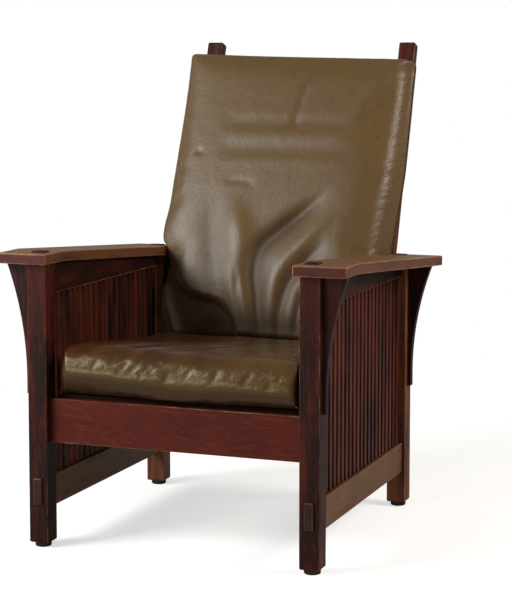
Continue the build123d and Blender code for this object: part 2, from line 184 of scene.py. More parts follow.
class SeatCushionSizes(bpy.types.PropertyGroup):
    """Sizes of the seat cushion."""

    slope: angle("Slope", "Fall of the seat to the rear", 4.2)
    edge: length("Edge", "Thickness at the side seams", 93)
    crown: length("Crown", "Rise of the top panel before filling", 9)
    nose: length("Nose", "Depth of the rolled front", 38)
    side_roll: length("Side roll", "How far the rolled sides reach in", 6)
    end_roll: length("End roll", "How far the rolled rear reaches in", 24)
    front_rise: length("Front rise", "How much fuller the front is", 6)
    corner_lift: length("Corner lift", "How far the front left corner's foot is raised", 15)
    drawn_in: length("Drawn in", "How far the front left corner is drawn in", 15)
    corner: length("Corner", "Radius of the panel's corners", 12)
    cell: length("Cell", "Spacing of the leather's mesh", 6.5)
    piping: length("Piping", "Radius of the piping", 2.6)


class StageSizes(bpy.types.PropertyGroup):
    """Camera and light."""

    camera: FloatVectorProperty(
        name="Camera", description="Place of the camera", default=(1.59259, -4.14084, 1.12236),
        subtype="TRANSLATION",
    )
    pitch: angle("Pitch", "Camera's tilt below level", 5.653)
    yaw: angle("Yaw", "Camera's turn from straight ahead", 20.736)
    lens: number("Lens", "Focal length in millimetres on a 36 mm sensor", 109.84)
    shift: number("Shift", "Upward shift of the lens", -0.12)


GROUPS = {
    "oak_finish": OakFinish,
    "cushion_leather": CushionLeather,
    "back_cushion": BackCushionSizes,
    "seat_cushion": SeatCushionSizes,
    "stage_sizes": StageSizes,
}


# Node trees

def arithmetic(operation, turned=False):
    """A method of wires that adds a Math node; turned, the wire comes after the other value."""

    def method(wire, *others):
        values = (*others, wire) if turned else (wire, *others)
        return wire.tree.node("ShaderNodeMath", {"operation": operation}, dict(enumerate(values)))

    return method


class Wire:
    """An output of a node. Arithmetic on wires adds Math nodes."""

    def __init__(self, tree, socket):
        self.tree = tree
        self.socket = socket

    __add__ = __radd__ = arithmetic("ADD")
    __mul__ = __rmul__ = arithmetic("MULTIPLY")
    __sub__ = arithmetic("SUBTRACT")
    __rsub__ = arithmetic("SUBTRACT", turned=True)
    least = arithmetic("MINIMUM")
    most = arithmetic("MAXIMUM")
    size = arithmetic("ABSOLUTE")
    sine = arithmetic("SINE")

    def step(self, low, high):
        """Smooth step from 0 at low to 1 at high."""
        return self.tree.node(
            "ShaderNodeMapRange",
            {"interpolation_type": "SMOOTHSTEP"},
            {"Value": self, "From Min": low, "From Max": high},
        )


class Tree:
    """A node tree that grows by expressions."""

    def __init__(self, tree):
        self.tree = tree

    def node(self, kind, settings=None, inputs=None, output=0):
        """A new node with its settings made first, then its sockets; returns one output."""
        made = self.tree.nodes.new(kind)
        for key, value in (settings or {}).items():
            setattr(made, key, value)
        for key, value in (inputs or {}).items():
            if isinstance(value, Wire):
                self.tree.links.new(value.socket, made.inputs[key])
            else:
                made.inputs[key].default_value = value
        return Wire(self, made.outputs[output]) if made.outputs else made


def opaque(colour):
    """A colour with an alpha of 1; a wire or a single number stays as it is."""
    if isinstance(colour, (Wire, int, float)):
        return colour
    return (*colour, 1)


def dimmed(colour, share):
    """A darker colour."""
    return tuple(share * part for part in colour)


class Finish(Tree):
    """A procedural material on Object coordinates."""

    def __init__(self, name):
        self.material = bpy.data.materials.new(name)
        self.material.use_nodes = True
        super().__init__(self.material.node_tree)
        self.tree.nodes.clear()
        self.place = self.node("ShaderNodeTexCoord", output="Object")

    def facing(self, direction):
        """How far a face looks in a direction: 1 straight at it, -1 away from it."""
        return self.dot(self.node("ShaderNodeTexCoord", output="Normal"), direction)

    def attribute(self, name):
        return self.node("ShaderNodeAttribute", {"attribute_name": name}, output="Fac")

    def vector(self, operation, first, second, output="Vector"):
        settings = {"operation": operation}
        return self.node("ShaderNodeVectorMath", settings, {0: first, 1: second}, output)

    def dot(self, vector, direction):
        return self.vector("DOT_PRODUCT", vector, tuple(direction), "Value")

    def stretch(self, vector, scales):
        return self.vector("MULTIPLY", vector, scales)

    def join(self, x, y, z):
        return self.node("ShaderNodeCombineXYZ", inputs={0: x, 1: y, 2: z})

    def noise(self, vector, density=None, detail=2.0, rough=0.5, warp=0.0):
        """Noise with so many cells per metre, one count or one for each axis."""
        if isinstance(density, (int, float)):
            density = (density, density, density)
        if density is not None:
            vector = self.stretch(vector, density)
        inputs = {"Vector": vector, "Scale": 1.0, "Detail": detail, "Roughness": rough}
        return self.node("ShaderNodeTexNoise", inputs={**inputs, "Distortion": warp})

    def mix(self, factor, first, second, blend="MIX"):
        settings = {"data_type": "RGBA", "blend_type": blend}
        return self.node(
            "ShaderNodeMix", settings, {0: factor, 6: opaque(first), 7: opaque(second)}, output=2
        )

    def layers(self, tint, coats):
        """Coats over a tint, each a factor and a colour."""
        for factor, coat in coats:
            tint = self.mix(factor, tint, coat)
        return tint

    def bump(self, *reliefs):
        """Reliefs on top of each other, each a height, a strength and a depth in millimetres."""
        normal = {}
        for height, strength, depth in reliefs:
            inputs = {"Height": height, "Strength": strength, "Distance": depth * MM}
            normal = {"Normal": self.node("ShaderNodeBump", inputs={**inputs, **normal})}
        return normal["Normal"]

    def close(self, **sockets):
        """The surface, with names such as Base_Color for its sockets."""
        inputs = {key.replace("_", " "): opaque(value) for key, value in sockets.items()}
        surface = self.node("ShaderNodeBsdfPrincipled", inputs=inputs)
        self.node("ShaderNodeOutputMaterial", inputs={"Surface": surface})
        return self.material


# Wood

UP = (0, 0, 1)
SIDEWAYS = (1, 0, 0)
BACKWARD = (0, 1, 0)
ALONG_BACK = tuple(BACK_UP)
ALONG_RACK = tuple(Vector(joint("support_bar")["axis"]).normalized())
LEG_TOP = (0.42, 0.62)
SEED_STEP = 1.7


class BoardWear:
    """How stain, hands and daylight show on most boards, and how strongly their edges carry a
    painted highlight, as shares.
    """

    side_red = 1.0       # how much of the red shows over the dark on upright faces
    end_red = 0.6        # how much of it shows on end grain
    end_shade = 0.6      # how much darker the end grain is
    edge_width = 1.0     # width of the worn line along an edge
    edge_wear_and_highlight = 0.3    # how much of the stain is rubbed off there at least, which also paints the edge's highlight


class ArmWear(BoardWear):
    """The arms are handled more: lighter ends, lighter edges that also paint the highlight of a
    rounded edge, and darker sides.
    """

    side_red = 0.75
    end_red = 1.0
    end_shade = 0.25
    edge_width = 2.1
    edge_wear_and_highlight = 0.6


def board_axes(grain):
    """Across, through and along axes of a board with that grain direction."""
    grain = Vector(grain)
    across = Vector(SIDEWAYS) if abs(grain.x) < 0.5 else Vector(BACKWARD)
    through = grain.cross(across).normalized()
    return across, through, grain


def board_wires(look, node, grain, bend):
    """Across, through and along wires of a board, and its points' places along them."""
    axes = board_axes(grain)
    wires = [look.dot(look.place, axis) for axis in axes]
    spans = [corners(node) @ np.array(axis) for axis in axes]
    if bend is not None:
        start, fall = bend
        wires[1] = wires[1] - (wires[2] - start).most(0) * fall
        spans[1] = spans[1] - np.maximum(spans[2] - start, 0) * fall
    return wires, spans


def edge_gap(wires, spans):
    """Distance to the nearest edge: the middle one of the distances to the faces."""
    one, two, three = [
        (wire - float(span.min())).least(float(span.max()) - wire)
        for wire, span in zip(wires, spans)
    ]
    return one.least(two).most(one.most(two).least(three))


def oak(
    node, grain, seed, tone_and_shade=1.0, figure=1.0, faded=0.0, faded_sides=None, darkness=0.3,
    red_top=0.0, bend=None, wear=BoardWear,
):
    """Stained quarter-sawn oak for one board, with its grain, ray flecks, and wear along its edges
    that also paints their highlight.
    """
    group = bpy.context.scene.oak_finish
    look = Finish("oak_" + node)
    wires, spans = board_wires(look, node, grain, bend)
    across, through, along = wires
    grid = look.join(across, through, along)

    # Patterns in the wood, counted in cells per metre across, through and along
    drift = look.noise(grid, (9, 9, 2.5)) + seed
    clouds = look.vector("ADD", look.stretch(grid, (30, 30, 5)), look.join(drift, drift, seed))
    cloud = look.noise(clouds, detail=3)
    streak = look.noise(grid, (420, 420, 9), detail=3, rough=0.6)
    pore = look.noise(grid, (900, 900, 30), rough=0.6)
    leaning = look.join(across + through * 0.6 + along * 0.12 + drift * 0.02, through, along)
    fleck = look.noise(leaning, (260, 120, 26), rough=0.45, warp=0.3)
    fleck_line = fleck.step(0.56, 0.66)

    # Stain: clouds of red or brown over the dark, redder near a leg's top; the arms' browner tops
    # are faded and also a painted sheen
    level = look.facing(UP).step(0.3, 0.9)
    end = look.facing(grain).size().step(0.6, 0.9)
    if faded_sides is None:
        faded_sides = faded
    browned = (faded_sides + level * (faded - faded_sides)) * (1 - end)
    ground = look.mix(browned, group.red, group.brown)
    reddened = cloud.step(darkness - 0.12, darkness + 0.2) * (1 - end * (1 - wear.end_red))
    reddened = reddened * (wear.side_red + level * (1 - wear.side_red))
    upper = along + (cloud - 0.5) * 0.25
    reddened = (reddened + upper.step(*LEG_TOP) * red_top).least(1.0)

    # Streaks, ray flecks and pores, wear along the edges that also paints their highlight, grime,
    # and the board's tone, which on some boards also paints shade
    ragged = look.noise(grid, (60, 60, 25), detail=4, rough=0.65)
    gap = edge_gap(wires, spans) + (ragged - 0.5) * (3 * group.wear)
    lightened = drift.step(seed + 0.4, seed + 0.6) * 0.6 + wear.edge_wear_and_highlight
    grime = look.noise(grid, (14, 14, 8), detail=3)
    tint = look.layers(group.dark, [
        (reddened, ground),
        (streak.step(0.45, 0.75) * 0.3, group.dark),
        (streak.step(0.5, 0.3) * 0.12, group.fleck),
        (fleck_line * (0.3 * figure), group.fleck),
        (pore.step(0.62, 0.72) * 0.5, dimmed(group.dark, 0.4)),
        # Light line along the edges: wear, and also a painted highlight of the rounded edge
        (gap.step(wear.edge_width * group.wear, 0.0) * lightened, group.worn_and_highlight),
        (grime.step(0.45, 0.75) * 0.25, dimmed(group.dark, 0.6)),
    ])
    shade = (1 - end * wear.end_shade) * tone_and_shade
    tint = look.mix(1.0, tint, look.join(shade, shade, shade), blend="MULTIPLY")

    shine = look.noise(grid, (70, 70, 18), detail=3)
    return look.close(
        Base_Color=tint,
        Roughness=0.36 + shine * 0.2 + pore.step(0.6, 0.75) * 0.1,
        Normal=look.bump((streak * 0.6 + pore * 0.3 - fleck_line * 0.2, 0.22, 0.4)),
        Specular_IOR_Level=0.12 + 0.16 * faded,
    )


def plain_wood(node, grain, seed, tone_and_shade):
    """Secondary wood of the seat frame and its cleats, without stain."""
    plain = dimmed(bpy.context.scene.oak_finish.plain, tone_and_shade)
    look = Finish("plain_" + node)
    across, through, along = [look.dot(look.place, axis) for axis in board_axes(grain)]
    grid = look.join(across, through + seed, along)
    ring = look.noise(grid, (55, 55, 2.5), detail=4, warp=1.2)
    fibre = look.noise(grid, (700, 700, 18))
    tint = look.mix(ring.step(0.35, 0.62), plain, dimmed(plain, 0.6))
    tint = look.mix(fibre.step(0.5, 0.75) * 0.4, tint, dimmed(plain, 0.45))
    return look.close(
        Base_Color=tint, Roughness=0.62 + fibre * 0.15,
        Normal=look.bump((fibre, 0.25, 0.4)), Specular_IOR_Level=0.3 * tone_and_shade,
    )


def dress(node, material):
    """A CAD node's own slots take the material."""
    slots = frame["nodes"][node].material_slots
    for slot in slots:
        slot.material = material
    if not slots:
        frame["nodes"][node].data.materials.append(material)


def arm_bend():
    """Where an arm starts to fall, and how steeply, in the arm's own grain coordinates."""
    points = corners("arm_right")
    top = points[:, 2].max()
    level = points[np.abs(points[:, 2] - top) < 0.2 * MM]
    start = level[:, 1].max()
    rear = points[points[:, 1] > points[:, 1].max() - 8 * MM]
    fall = (top - rear[:, 2].max()) / (rear[:, 1].max() - start)
    return start, fall


# Boards in pairs: grain, tone of the left and the right one, strength of the ray flecks,
# fading, level at which the clouds turn from dark to red, and how much redder the top is
# Lower tones and higher dark levels on the front legs, arm rails, spindles and corbels paint the
# shade under the arms, most of all on the right front corbel
PAIRED_BOARDS = {
    "front_leg": (UP, (0.75, 0.75), 0.7, 0.0, 0.57, 0.45),
    "rear_leg": (UP, (1.2, 1.2), 0.8, 0.4, 0.35, 0.0),
    "side_rail": (BACKWARD, (0.9, 0.9), 0.9, 0.8, 0.25, 0.0),
    "arm_rail": (BACKWARD, (0.7, 0.7), 0.6, 0.0, 0.6, 0.0),
    "spindles": (UP, (0.8, 0.8), 0.5, 0.1, 0.45, 0.0),
    "front_corbel": (UP, (0.76, 0.38), 0.6, 0.0, 0.55, 0.0),
    "rear_corbel": (UP, (0.6, 0.6), 0.6, 0.0, 0.55, 0.0),
    "back_upright": (ALONG_BACK, (0.9, 0.9), 0.8, 0.1, 0.4, 0.0),
    "rack": (ALONG_RACK, (0.8, 0.8), 0.8, 0.0, 0.5, 0.0),
}
ARM_TONES = {"left": 1.2, "right": 1.05}
CROSS_BOARDS = ["front_rail", "rear_rail", "support_bar", *[f"back_slat_{n}" for n in range(1, 6)]]

# Unstained boards: grain and tone; the front member's low tone paints the shade in the gap under
# the seat cushion
PLAIN_BOARDS = {
    "seat_frame_front": (SIDEWAYS, 0.15), "seat_frame_rear": (SIDEWAYS, 1.0),
    "seat_frame_left": (BACKWARD, 1.0), "seat_frame_right": (BACKWARD, 1.0),
    "seat_cleat_front": (SIDEWAYS, 1.0), "seat_cleat_rear": (SIDEWAYS, 1.0),
}


class MakeOakFrame(bpy.types.Operator):
    """Stain and grain for every oak piece of the frame and back"""

    bl_idname = "armchair.oak_frame"
    bl_label = "Oak frame"

    def execute(self, context):
        seeds = accumulate(repeat(SEED_STEP))
        for stem, (grain, tones, figure, faded, darkness, top) in PAIRED_BOARDS.items():
            for side, tone_and_shade in zip(("left", "right"), tones):
                node = f"{stem}_{side}"
                dress(node, oak(
                    node, grain, next(seeds), tone_and_shade, figure, faded, darkness=darkness,
                    red_top=top,
                ))
        for side, tone_and_shade in ARM_TONES.items():
            node = f"arm_{side}"
            dress(node, oak(
                node, BACKWARD, next(seeds), tone_and_shade, 0.8, faded=0.9, faded_sides=0.6,
                bend=arm_bend(), wear=ArmWear,
            ))
        for node in CROSS_BOARDS:
            dress(node, oak(node, SIDEWAYS, next(seeds), 0.8, 0.9, darkness=0.26))
        for node, (grain, tone_and_shade) in PLAIN_BOARDS.items():
            dress(node, plain_wood(node, grain, next(seeds), tone_and_shade))
        return {"FINISHED"}


# Metal

# Slot's finish, screen colour, roughness and share of dirt
METALS = {
    "foot_glides": ("glide_steel", (62, 56, 52), 0.42, 0.9),
    "pivot_pins": ("pin_steel", (150, 146, 140), 0.3, 0.5),
    "cleat_screws": ("screw_brass_cleats", (176, 142, 84), 0.35, 0.8),
    "rack_screws": ("screw_brass_racks", (176, 142, 84), 0.35, 0.8),
}
SPACER_SEED = 3.1


def metal(name, screen, rough, dirt):
    """Old metal with a dull film and darker dirt."""
    base = srgb(*screen)
    look = Finish(name)
    film = look.noise(look.place, 180, detail=4, rough=0.65)
    scratch = look.noise(look.place, (900, 900, 160))
    tint = look.mix(film.step(0.4, 0.7) * dirt, base, dimmed(base, 0.35))
    normal = look.bump((scratch, 0.15, 0.2))
    return look.close(Base_Color=tint, Metallic=1.0, Roughness=rough + film * 0.2, Normal=normal)


class MakeMetalwork(bpy.types.Operator):
    """Glides, pivot pins and screws, and the wooden spacers on the pins"""

    bl_idname = "armchair.metalwork"
    bl_label = "Metalwork"

    def execute(self, context):
        for node, values in METALS.items():
            dress(node, metal(*values))
        dress("pivot_spacers", oak("pivot_spacers", SIDEWAYS, SPACER_SEED, tone_and_shade=0.9))
        return {"FINISHED"}


# Webbing

YARN = 3.2 * MM


def jute(name, along, across):
    """Woven jute tape, its warp along the strap."""
    look = Finish(name)
    warp, weft = [
        (look.dot(look.place, direction) * (2 * pi / YARN)).sine() for direction in (along, across)
    ]
    weave = warp * weft
    fuzz = look.noise(look.place, 500, detail=3)
    tint = look.mix(weave.step(-0.6, 0.8), srgb(112, 88, 54), srgb(176, 148, 104))
    tint = look.mix(fuzz.step(0.45, 0.75) * 0.5, tint, srgb(88, 66, 38))
    normal = look.bump((weave + fuzz * 0.6, 0.5, 0.5))
    return look.close(
        Base_Color=tint, Roughness=0.85, Normal=normal, Specular_IOR_Level=0.2, Sheen_Weight=0.2
    )


class MakeWebbing(bpy.types.Operator):
    """Jute webbing on the seat frame"""

    bl_idname = "armchair.webbing"
    bl_label = "Webbing"

    def execute(self, context):
        dress("webbing_lengthwise", jute("jute_lengthwise", BACKWARD, SIDEWAYS))
        dress("webbing_crosswise", jute("jute_crosswise", SIDEWAYS, BACKWARD))
        return {"FINISHED"}


# Leather

def leather(name, ground, front, seed, gloss, dull, painted_shade_and_light, crinkle, sheen):
    """Old glazed hide: mottled and creased, with painted shade in its hollows and where it faces
    down, ridges lighter from rubbing and a painted highlight, and painted light and a painted
    reflection on the seat.
    """
    group = bpy.context.scene.cushion_leather
    look = Finish(name)
    hollow, ridge, gather = [look.attribute(key) for key in ("hollow", "ridge", "gather")]
    place = look.vector("ADD", look.place, (seed, seed, seed))

    # Colour: the ground turns to the front's colour on steep faces, a painted reflection on the
    # seat's front; then painted shade facing down and in hollows, painted light on the seat top's
    # right, lighter ridges, mottles and specks
    cloud = look.noise(place, 7, detail=3, rough=0.55)
    mottle = look.noise(place, 38, detail=4, rough=0.6)
    speck = look.noise(place, 300, detail=3, rough=0.6)
    facing = look.facing(UP)
    tint = look.mix(facing.step(0.85, 0.3) * (0.75 + cloud * 0.25), ground, front)
    # Painted light on the right part of the seat's top
    lightened = look.dot(look.place, SIDEWAYS).step(-0.05, 0.28) * facing.step(0.2, 0.9)
    tint = look.layers(tint, [
        # Painted shade where the hide faces down
        (facing.step(0.1, -0.25) * painted_shade_and_light, group.shade),
        (lightened * (0.45 * painted_shade_and_light), group.tan),
        (mottle.step(0.5, 0.78) * 0.35, group.shade),
        # Ridges lighter from rubbing and a painted highlight; hollows darker with painted shade
        (ridge * 0.35, group.tan),
        (hollow * 0.75, group.shade),
        (speck.step(0.55, 0.8) * 0.25, group.shade),
    ])

    # Relief: soft dents, crinkled glaze, fibres, pebbled grain, and wrinkles at gathered seams
    soft = look.noise(place, (16, 16, 11), warp=0.6)
    crease = look.noise(place, (46, 46, 20), detail=3, rough=0.55, warp=1.4)
    line = (crease - 0.5).size().step(0.05, 0.0)
    fibre = look.noise(place, (60, 60, 190), detail=3, rough=0.6, warp=0.4)
    pebble = look.node(
        "ShaderNodeTexVoronoi",
        {"feature": "DISTANCE_TO_EDGE"},
        {"Vector": look.stretch(place, (420, 420, 420)), "Scale": 1.0, "Randomness": 1.0},
    )
    slanted = look.join(*[look.dot(place, way) for way in ((-62, 0, 78), (0, 24, 0), (12, 0, 10))])
    wrinkle = look.noise(slanted, detail=3, rough=0.55, warp=0.5)
    normal = look.bump(
        (soft, 0.3, 4), (line * -0.5 + crease, crinkle, 1.2), (fibre, 0.22, 0.8),
        (pebble.step(0.0, 0.25), 0.05, 0.3), (wrinkle * gather, 0.7, 3),
    )
    return look.close(
        Base_Color=tint, Roughness=dull + cloud * 0.12 + hollow * 0.2 + speck * 0.06,
        Normal=normal, Specular_IOR_Level=gloss, Specular_Tint=sheen,
    )


def piping_leather():
    """Narrow strip of the same hide, darkened by handling."""
    group = bpy.context.scene.cushion_leather
    look = Finish("piping_leather")
    mottle = look.noise(look.place, 120, detail=3)
    tint = look.mix(mottle.step(0.45, 0.75), group.piping, group.ground)
    normal = look.bump((mottle, 0.3, 0.6))
    return look.close(Base_Color=tint, Roughness=0.42, Normal=normal, Specular_IOR_Level=0.4)


# Cushion shapes

def moved(place, *steps):
    """A place on a lattice after some steps."""
    return tuple(map(sum, zip(place, *steps)))


def skin(across, along, through):
    """Lattice over a box: each point as shares and as whole steps, and the faces, outwards."""
    x, y, z = (1, 0, 0), (0, 1, 0), (0, 0, 1)
    steps = {}
    faces = []

    def face(place, first, second):
        ring = (place, moved(place, first), moved(place, first, second), moved(place, second))
        faces.append([steps.setdefault(corner, len(steps)) for corner in ring])

    for i in range(across):
        for j in range(along):
            face((i, j, 0), y, x)
            face((i, j, through), x, y)
    for k in range(through):
        for j in range(along):
            face((0, j, k), z, y)
            face((across, j, k), y, z)
        for i in range(across):
            face((i, 0, k), x, z)
            face((i, along, k), z, x)
    return np.array(list(steps), float) / (across, along, through), list(steps), faces


def rims(grid):
    """Which points are on the rim of the lattice's low face, and of its high face."""
    rim = (np.abs(grid[:, :2] - 0.5) > 0.499).any(axis=1)
    return rim & (grid[:, 2] < 0.001), rim & (grid[:, 2] > 0.999)


def arc_pull(x, y):
    """How far a square corner's points are drawn in to a quarter circle."""
    return x - x * np.sqrt(1 - y * y / 2), y - y * np.sqrt(1 - x * x / 2)


def round_corners(x, y, half_x, half_y, radius):
    """Pulls the corners of a rectangle in to arcs of that radius."""
    past_x = np.clip((np.abs(x) - (half_x - radius)) / radius, 0, 1)
    past_y = np.clip((np.abs(y) - (half_y - radius)) / radius, 0, 1)
    pull_x, pull_y = arc_pull(past_x, past_y)
    return x - np.sign(x) * radius * pull_x, y - np.sign(y) * radius * pull_y


def roll(x, out, half, thick, reach, drop):
    """Rolls the edge between a side and the front panel, so far in and so far down."""
    past_x = np.clip((np.abs(x) - (half - reach)) / reach, 0, 1)
    past_out = np.clip((out - (thick - drop)) / drop, 0, 1)
    pull_x, pull_out = arc_pull(past_x, past_out)
    return x - np.sign(x) * reach * pull_x, out - drop * pull_out


def linked(name, data):
    """A new object in the scene."""
    made = bpy.data.objects.new(name, data)
    bpy.context.scene.collection.objects.link(made)
    return made


def mesh_piece(name, points, edges, faces):
    """A mesh object from points and edges or faces."""
    mesh = bpy.data.meshes.new(name)
    mesh.from_pydata([tuple(point) for point in points], edges, faces)
    mesh.update()
    return linked(name, mesh)


def set_points(piece, points):
    piece.data.vertices.foreach_set("co", points.astype(np.float32).ravel())
    piece.data.update()


def evaluated(piece):
    """A new mesh: the piece's mesh with its modifiers applied."""
    graph = bpy.context.evaluated_depsgraph_get()
    return bpy.data.meshes.new_from_object(piece.evaluated_get(graph))


def keep_modifiers(piece):
    """The evaluated mesh takes the place of the mesh and its modifiers."""
    made = evaluated(piece)
    piece.modifiers.clear()
    piece.data = made


# How the hide behaves as the stuffing swells it, for how many frames, and how often its
# travel is averaged among neighbouring points, so that no lumps are left
HIDE = {
    "quality": 6, "mass": 0.25, "tension_stiffness": 20, "compression_stiffness": 12,
    "shear_stiffness": 8, "bending_stiffness": 1.5, "pin_stiffness": 1.5,
    "use_pressure": True, "uniform_pressure_force": 4.0,
}
FILL_FRAMES = 20
CALM_ROUNDS = 6


def calmed(piece, values):
    """Values on the mesh's points, averaged with their neighbours' some times over."""
    flat = np.empty(2 * len(piece.data.edges), np.int32)
    piece.data.edges.foreach_get("vertices", flat)
    one, two = flat.reshape(-1, 2).T
    count = np.bincount(flat, minlength=len(values))[:, None]
    for _ in range(CALM_ROUNDS):
        total = np.zeros_like(values)
        np.add.at(total, one, values[two])
        np.add.at(total, two, values[one])
        values = 0.5 * values + 0.5 * total / count
    return values


def fill(piece, held, loose, cap):
    """Cloth simulation: leather, so much looser than its stuffing, swells up to the cap."""
    start = mesh_points(piece.data)
    group = piece.vertex_groups.new(name="held")
    for index in np.flatnonzero(held):
        group.add([int(index)], float(held[index]), "REPLACE")
    cloth = piece.modifiers.new("cloth", "CLOTH")
    for name, value in HIDE.items():
        setattr(cloth.settings, name, value)
    cloth.settings.vertex_group_mass = "held"
    cloth.settings.shrink_min = -loose
    cloth.settings.effector_weights.gravity = 0
    cloth.collision_settings.use_collision = False
    scene = bpy.context.scene
    for clock in (cloth.point_cache, scene):
        clock.frame_start = 1
        clock.frame_end = FILL_FRAMES
    for moment in range(1, FILL_FRAMES + 1):
        scene.frame_set(moment)
    swollen = evaluated(piece)
    travel = mesh_points(swollen) - start
    bpy.data.meshes.remove(swollen)
    piece.modifiers.clear()
    piece.vertex_groups.clear()
    scene.frame_set(1)
    travel = calmed(piece, travel)
    reach = np.linalg.norm(travel, axis=1)
    limit = cap * np.tanh(reach / cap) / np.maximum(reach, 1e-9)
    set_points(piece, start + travel * limit[:, None])


def smoothed(route):
    """A route in metres with its corners cut three times, so that a fold bends gently."""
    points = np.array(route) * MM
    for _ in range(3):
        near = points[:-1] * 0.75 + points[1:] * 0.25
        far = points[:-1] * 0.25 + points[1:] * 0.75
        inner = np.stack([near, far], axis=1).reshape(-1, 2)
        points = np.vstack([points[:1], inner[1:-1], points[-1:]])
    return points


def route_distance(x, y, route):
    """Signed distance to a smoothed route, positive on its left, and the share along it."""
    points = smoothed(route)
    leg_x, leg_y = np.diff(points, axis=0).T
    size = np.hypot(leg_x, leg_y)
    done = np.cumsum(size)
    dx = x[:, None] - points[:-1, 0]
    dy = y[:, None] - points[:-1, 1]
    along = np.clip((dx * leg_x + dy * leg_y) / size**2, 0, 1)
    away = np.hypot(dx - along * leg_x, dy - along * leg_y)
    signed = np.sign(leg_x * dy - leg_y * dx) * away
    share = (done - size + along * size) / done[-1]
    nearest = (np.arange(len(x)), away.argmin(axis=1))
    return signed[nearest], share[nearest]


def fold(x, y, route, height, near, far, fade):
    """One fold along a route: a rounded ridge, or a valley with a crisp bottom."""
    away, share = route_distance(x, y, route)
    width = np.where(away < 0, near, far) * MM * (0.75 + 0.35 * share)
    reach = np.abs(away) / width
    crisp = 0.6
    shape = np.exp(-reach**2) if height > 0 else np.exp(crisp - np.hypot(reach, crisp))
    return height * MM * smooth(share, 0, fade) * shape


def folds(x, y, table):
    """Height of several folds together."""
    return sum(fold(x, y, *values) for values in table)


def wander(places, pitch, seed):
    """Uneven wave along a seam, for its puckers."""
    turn = 2 * pi * places / pitch
    strength = 0.65 + 0.35 * np.sin(0.31 * turn + 2 * seed)
    return np.sin(turn + 1.9 * np.sin(0.23 * turn + seed)) * strength


def shade_attributes(piece, **shades):
    """Stores how deep in a hollow, how high on a ridge and how near a gathered seam points lie."""
    for name, values in shades.items():
        attribute = piece.data.attributes.new(name, "FLOAT", "POINT")
        attribute.data.foreach_set("value", values.astype(np.float32))


def crease_edges(piece, seam):
    """Keeps a seam crisp when the leather is subdivided."""
    crispness = 0.55
    attribute = piece.data.attributes.new("crease_edge", "FLOAT", "EDGE")
    values = [crispness * bool(seam[list(edge.vertices)].all()) for edge in piece.data.edges]
    attribute.data.foreach_set("value", values)


def seam_loop(steps, across, along):
    """Indices round the rim of a lattice's low face, in order."""
    half = [(i, 0) for i in range(across)] + [(across, j) for j in range(along)]
    ring = half + [(across - i, along - j) for i, j in half]
    return [steps.index((i, j, 0)) for i, j in ring]


def piping_rule():
    """Geometry nodes that sweep round piping along a seam."""
    rule = Tree(bpy.data.node_groups.new("piping", "GeometryNodeTree"))
    sockets = rule.tree.interface
    sockets.new_socket("Geometry", in_out="INPUT", socket_type="NodeSocketGeometry")
    for size in ("Radius", "Spacing"):
        sockets.new_socket(size, in_out="INPUT", socket_type="NodeSocketFloat")
    sockets.new_socket("Geometry", in_out="OUTPUT", socket_type="NodeSocketGeometry")
    enter = rule.tree.nodes.new("NodeGroupInput")
    seam, radius, spacing = [Wire(rule, output) for output in list(enter.outputs)[:3]]
    curve = rule.node("GeometryNodeMeshToCurve", inputs={"Mesh": seam})
    curve = rule.node(
        "GeometryNodeResampleCurve", {"mode": "LENGTH"}, {"Curve": curve, "Length": spacing}
    )
    profile = rule.node(
        "GeometryNodeCurvePrimitiveCircle", {"mode": "RADIUS"}, {"Resolution": 10, "Radius": radius}
    )
    inputs = {"Curve": curve, "Profile Curve": profile, "Fill Caps": True}
    tube = rule.node("GeometryNodeCurveToMesh", inputs=inputs)
    tube = rule.node("GeometryNodeSetShadeSmooth", inputs={"Geometry": tube})
    inputs = {"Geometry": tube, "Material": piping_leather()}
    tube = rule.node("GeometryNodeSetMaterial", inputs=inputs)
    rule.node("NodeGroupOutput", inputs={"Geometry": tube})
    return rule.tree


def seam_piping(piece, ring, radius, body, closed):
    """Piping along a piece's seam, given as points in order."""
    eased = ring
    for _ in range(3):
        eased = (np.roll(eased, 1, 0) + 2 * eased + np.roll(eased, -1, 0)) / 4
        if not closed:
            eased[[0, -1]] = ring[[0, -1]]
    count = len(eased)
    edges = [(n, (n + 1) % count) for n in range(count if closed else count - 1)]
    piping = mesh_piece(piece.name.replace("leather", "piping"), eased, edges, [])
    modifier = piping.modifiers.new("piping", "NODES")
    modifier.node_group = piping_rule()
    given = {"Radius": radius, "Spacing": 4 * MM}
    for socket in modifier.node_group.interface.items_tree:
        if socket.name in given:
            modifier[socket.identifier] = given[socket.name]
    keep_modifiers(piping)
    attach(piping, body)


def sew(piece, material, body):
    """Finishes a cushion: one subdivision, its material, and what the frame needs to know."""
    finer = piece.modifiers.new("smooth", "SUBSURF")
    finer.levels = 1
    finer.render_levels = 1
    keep_modifiers(piece)
    piece.data.materials.clear()
    piece.data.materials.append(material)
    piece.data.polygons.foreach_set("use_smooth", [True] * len(piece.data.polygons))
    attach(piece, body)
    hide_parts(body)


# Back cushion

